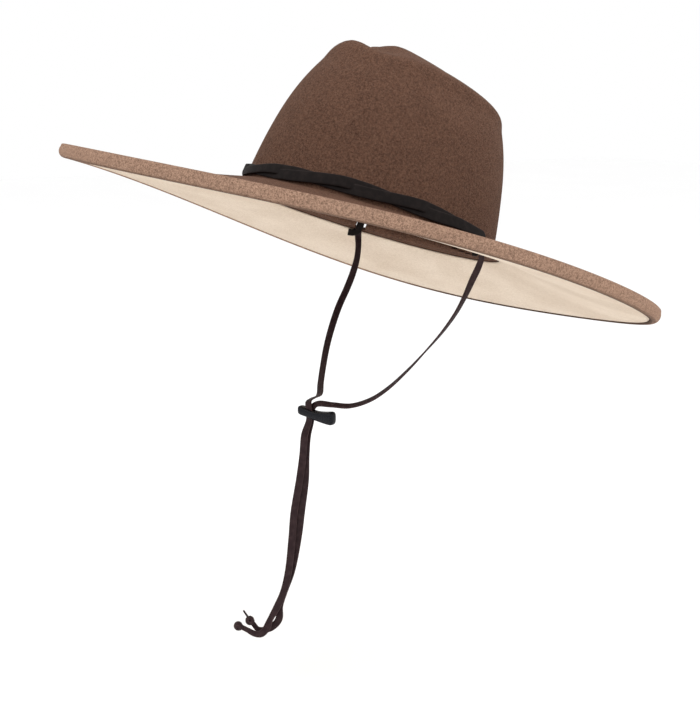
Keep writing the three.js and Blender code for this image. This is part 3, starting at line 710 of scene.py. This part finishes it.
def lace_rows(sign, rows):
    """Rows of the whole lace. It starts in the slit, under the end of the second strip."""
    distance = float(strip_lie(np.array(sign * (slit_arc - TURN_RADIUS)), -1)[1])
    heading = LACE_HEADING if sign > 0 else 360 - LACE_HEADING
    angle = sign * math.radians(SLIT_MIDDLE)
    heights = (LACE_START, LACE_START - SLIT_DEPTH)
    starts = [leaned(beside_wall(angle, height, distance)) for height in heights]
    return [(*start, heading, 0) for start in starts] + rows


lace_leather = soft_leather("lace_leather", rgb(40, 26, 28), rgb(70, 54, 54), 0.5, 0.12)
mirrored_run = [(-x, y, z, 360 - heading, tilt) for x, y, z, heading, tilt in UPPER_RUN]
lace_routes = {
    "left": lace_rows(1, UPPER_RUN + LEFT_END),
    "right": lace_rows(-1, mirrored_run + RIGHT_END),
}
laces = {}
for hand, rows in lace_routes.items():
    end = np.array(rows[-1][:3])
    inside_knot = end + unit(end - np.array(rows[-2][:3])) * KNOT_REACH
    rows = [*rows, (*inside_knot, *rows[-1][3:])]
    shares = np.linspace(0, 1, LACE_STEPS + 1)
    points = spline_points(rows, shares)
    headings, tilts = np.radians(smooth_rows([row[3:] for row in rows], shares)).T
    face_out = unit(np.stack([np.sin(headings), -np.cos(headings), -np.tan(tilts)], -1))
    widths = LACE_DIAMETER * (1 - (1 - NARROW_END) * smoothstep(shares, *NARROWING))
    rings, across = ribbon_rings(points, face_out, widths, STRIP_THICKNESS)
    vertices, faces = closed_rings(rings)
    laces[hand] = make_piece(f"lace_{hand}", vertices, faces, lace_leather, across=np.append(across, [0, 0]))
    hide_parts(f"chin_lace_{hand}")
    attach(laces[hand], "root")

# Slide: a glossy black moulded bar with flared ends that sags in the middle. Both laces pass through its one
# slot, nearer to the right end, and it is pushed up to close them under the chin.
SLIDE_PLACE = (0.0, -0.0489, -0.1479)
SLIDE_HEADING = math.radians(20)
SLIDE_HALF_LENGTH = 0.0172
SLIDE_HALF_DEPTH = 0.0039
SLIDE_SLOT = (0.0072, 0.0053, 0.030)
SLOT_MIDDLE = -0.006
SLIDE_RINGS = 61
SLIDE_SECTION = 40
SLIDE_END_POWER = 14
SLIDE_SIDE_POWER = 0.6

# The bar from its right end to its left end: height of its middle, half of its height.
SLIDE_PROFILE = [
    (0.0028, 0.0038),
    (0.0014, 0.0034),
    (0.0, 0.0036),
    (-0.0003, 0.0046),
    (0.0001, 0.0058),
]

slide_rings = []
turn = np.arange(SLIDE_SECTION) / SLIDE_SECTION * 2 * math.pi
depths = np.sign(np.cos(turn)) * np.abs(np.cos(turn)) ** SLIDE_SIDE_POWER
heights = np.sign(np.sin(turn)) * np.abs(np.sin(turn)) ** SLIDE_SIDE_POWER
for share in np.sin(np.linspace(-math.pi / 2, math.pi / 2, SLIDE_RINGS))[1:-1]:
    middle, half_height = smooth_rows(SLIDE_PROFILE, (share + 1) / 2)[0]
    end_round = (1 - abs(share) ** SLIDE_END_POWER) ** 0.5
    y = SLIDE_HALF_DEPTH * end_round * depths
    z = middle + half_height * end_round * heights
    slide_rings.append(np.stack([0 * y + share * SLIDE_HALF_LENGTH, y, z], -1))
slide_material, slide_position = new_finish("gloss_black_plastic")
slide_haze = slide_position.noise(900, 3.0)
make_finish(
    slide_position.noise(300, 2.0).blend(rgb(10, 11, 16), rgb(18, 19, 26)),
    0.22 + 0.12 * slide_haze, slide_haze, 0.0001, 0.25, Specular_IOR_Level=0.16,
)
vertices, faces = closed_rings(np.array(slide_rings))
slide = make_piece("lace_slide", vertices, faces, slide_material)
bpy.ops.mesh.primitive_cube_add(size=1)
slot_cutter = bpy.context.active_object
slot_cutter.scale = SLIDE_SLOT
slot_cutter.location.x = SLOT_MIDDLE
cut = slide.modifiers.new("slot", "BOOLEAN")
cut.object = slot_cutter
cut.solver = "EXACT"
bpy.context.view_layer.update()
slotted = bpy.data.meshes.new_from_object(slide.evaluated_get(bpy.context.evaluated_depsgraph_get()))
slide.modifiers.clear()
slide.data = slotted
bpy.data.objects.remove(slot_cutter)
slotted.transform(Matrix.Translation(SLIDE_PLACE) @ Matrix.Rotation(SLIDE_HEADING, 4, "Z"))
slotted.set_sharp_from_angle(angle=math.radians(50))
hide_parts("chin_slide")
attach(slide, "root")

# Knots: each lace ends in a tight knot of its own leather, about 9 mm across, wound into a round coil. The
# cut end sticks out of it, long and thin on the left knot and short on the right one.
KNOT_OFFSET = 0.0046
KNOT_RING = 0.0028
KNOT_CORE = 0.0003
KNOT_DOME = 0.0014
KNOT_STRAND = 0.0017
STRAND_WIDE = 0.92
STRAND_TALL = 1.5
KNOT_TURNS = 2.2
KNOT_STEPS = 140
KNOT_SECTION = 14
TUCK = {"start": 0.84, "end": 1, "share": 0.6}
TAIL = {"start": 0.001, "bend": 0.0008, "width": 0.0028, "taper": 0.6, "thickness": 0.0012, "steps": 14}

# The way that each coil faces, and the way and the length of each cut end.
KNOT_FACES = {"left": (0.78, -0.56, 0.28), "right": (0.7, -0.66, -0.25)}
KNOT_TAILS = {"left": ((-0.45, -0.4, 0.8), 0.0085), "right": ((-0.3, -0.2, -0.9), 0.0028)}


def coil_rings():
    """Rings round the strand of a coil that faces +Z, and how near each point lies to the strand's edge."""
    share = np.linspace(0, 1, KNOT_STEPS)
    turn = 2 * math.pi * KNOT_TURNS * share
    wide = KNOT_CORE + (KNOT_RING - KNOT_CORE) * share**0.8
    rise = KNOT_DOME * (1 - share) ** 1.5
    line = np.stack([wide * np.cos(turn), wide * np.sin(turn), rise], -1)
    forward = unit(np.gradient(line, axis=0))
    side_way = unit(np.cross(forward, (0, 0, 1)))
    up_way = np.cross(side_way, forward)
    section = np.arange(KNOT_SECTION) / KNOT_SECTION * 2 * math.pi
    wide_part = side_way[:, None] * (np.cos(section) * KNOT_STRAND * STRAND_WIDE)[:, None]
    tall_part = up_way[:, None] * (np.sin(section) * KNOT_STRAND * STRAND_TALL)[:, None]
    tuck = 1 - TUCK["share"] * smoothstep(share, TUCK["start"], TUCK["end"])
    line = line * np.stack([tuck, tuck, 1 + 0 * tuck], -1) ** 0.5
    rings = line[:, None] + (wide_part + tall_part) * tuck[:, None, None]
    return rings, np.tile(np.abs(np.sin(section)), len(share))


def tail_rings(centre, along, way, length):
    """Rings round a knot's cut end, which leaves the knot's middle and thins out."""
    reach = np.linspace(0, 1, TAIL["steps"])
    line = centre + way * (TAIL["start"] + length * reach)[:, None]
    line[:, 0] += TAIL["bend"] * reach**2
    face_out = np.tile(unit(np.cross(way, along)), (TAIL["steps"], 1))
    return ribbon_rings(line, face_out, TAIL["width"] * (1 - TAIL["taper"] * reach), TAIL["thickness"])[0]


knots = {}
coil, ridge = coil_rings()
for hand, rows in lace_routes.items():
    tip = np.array(rows[-1][:3])
    along = unit(tip - np.array(rows[-2][:3]))
    centre = tip + along * KNOT_OFFSET
    turn_to = np.array(Vector(KNOT_FACES[hand]).to_track_quat("Z", "Y").to_matrix())
    vertices, faces = closed_rings(coil @ turn_to.T + centre)
    tail_way, tail_length = KNOT_TAILS[hand]
    tail = tail_rings(centre, along, unit(np.array(tail_way)), tail_length)
    tail_vertices, tail_faces = closed_rings(tail)
    faces += [tuple(np.array(face) + len(vertices)) for face in tail_faces]
    vertices = np.vstack([vertices, tail_vertices])
    across = np.append(ridge, np.zeros(len(vertices) - len(ridge)))
    knots[hand] = make_piece(f"knot_{hand}", vertices, faces, lace_leather, across=across)
    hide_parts(f"lace_knot_{hand}")
    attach(knots[hand], "root")

for hand, lace in laces.items():
    on_lace = [knots[hand], slide] if hand == "left" else [knots[hand]]

# Floor: plain and pale, a little below the ends of the laces. The hat itself is held up at its crown.
FLOOR_HEIGHT = -0.36
FLOOR_HALF_WIDTH = 6.0
FLOOR_SIDES = ((-1, -1), (1, -1), (1, 1), (-1, 1))
floor_material, floor_position = new_finish("pale_floor")
make_finish(
    floor_position.noise(3, 2.0).blend(rgb(253, 253, 253), rgb(255, 255, 255)),
    0.8, floor_position.noise(200, 2.0), 0.0002, 0.05, Specular_IOR_Level=0.1,
)
floor_corners = [(x * FLOOR_HALF_WIDTH, y * FLOOR_HALF_WIDTH, FLOOR_HEIGHT) for x, y in FLOOR_SIDES]
floor = make_piece("floor", floor_corners, [(0, 1, 2, 3)], floor_material)

# Light: a white room with three large soft boxes, one to each side of the camera and one overhead.
scene = bpy.context.scene
scene.view_settings.view_transform = "Standard"
world = bpy.data.worlds.new("white_room")
world.use_nodes = True
world.node_tree.nodes["Background"].inputs["Color"].default_value = (1, 1, 1, 1)
world.node_tree.nodes["Background"].inputs["Strength"].default_value = 1.0
scene.world = world


def direction(azimuth, elevation):
    """The way out from the hat at an azimuth from the front and an elevation, both in degrees."""
    side, up = math.radians(azimuth), math.radians(elevation)
    return Vector((math.cos(up) * math.sin(side), -math.cos(up) * math.cos(side), math.sin(up)))


def soft_box(name, azimuth, elevation, distance, size, watts):
    """A square soft light that faces the hat."""
    light = bpy.data.lights.new(name, "AREA")
    light.size = size
    light.energy = watts
    box = bpy.data.objects.new(name, light)
    box.location = direction(azimuth, elevation) * distance
    box.rotation_euler = box.location.to_track_quat("Z", "Y").to_euler()
    scene.collection.objects.link(box)


soft_box("left_box", 5, 35, 1.6, 1.0, 6)
soft_box("right_box", 115, 25, 1.7, 1.2, 8)
soft_box("top_box", 60, 85, 1.6, 1.4, 8)

# Camera: the photo's viewing angle, fitted to the outlines of the rim and the crown.
CAMERA_AZIMUTH = 57
CAMERA_ELEVATION = 11.13
CAMERA_PLACE = (0.8290, -0.5571, 0.0937)
PHOTO_WIDTH = 700
FOCAL_PIXELS = 1317.65

camera_data = bpy.data.cameras.new("photo_camera")
camera_data.sensor_fit = "HORIZONTAL"
camera_data.sensor_width = 36
camera_data.lens = camera_data.sensor_width * FOCAL_PIXELS / PHOTO_WIDTH
camera = bpy.data.objects.new("photo_camera", camera_data)
back = direction(CAMERA_AZIMUTH, CAMERA_ELEVATION)
right = Vector((0, 0, 1)).cross(back).normalized()
turned = Matrix((right, back.cross(right), back)).transposed().to_4x4()
camera.matrix_world = Matrix.Translation(CAMERA_PLACE) @ turned
scene.collection.objects.link(camera)
scene.camera = camera
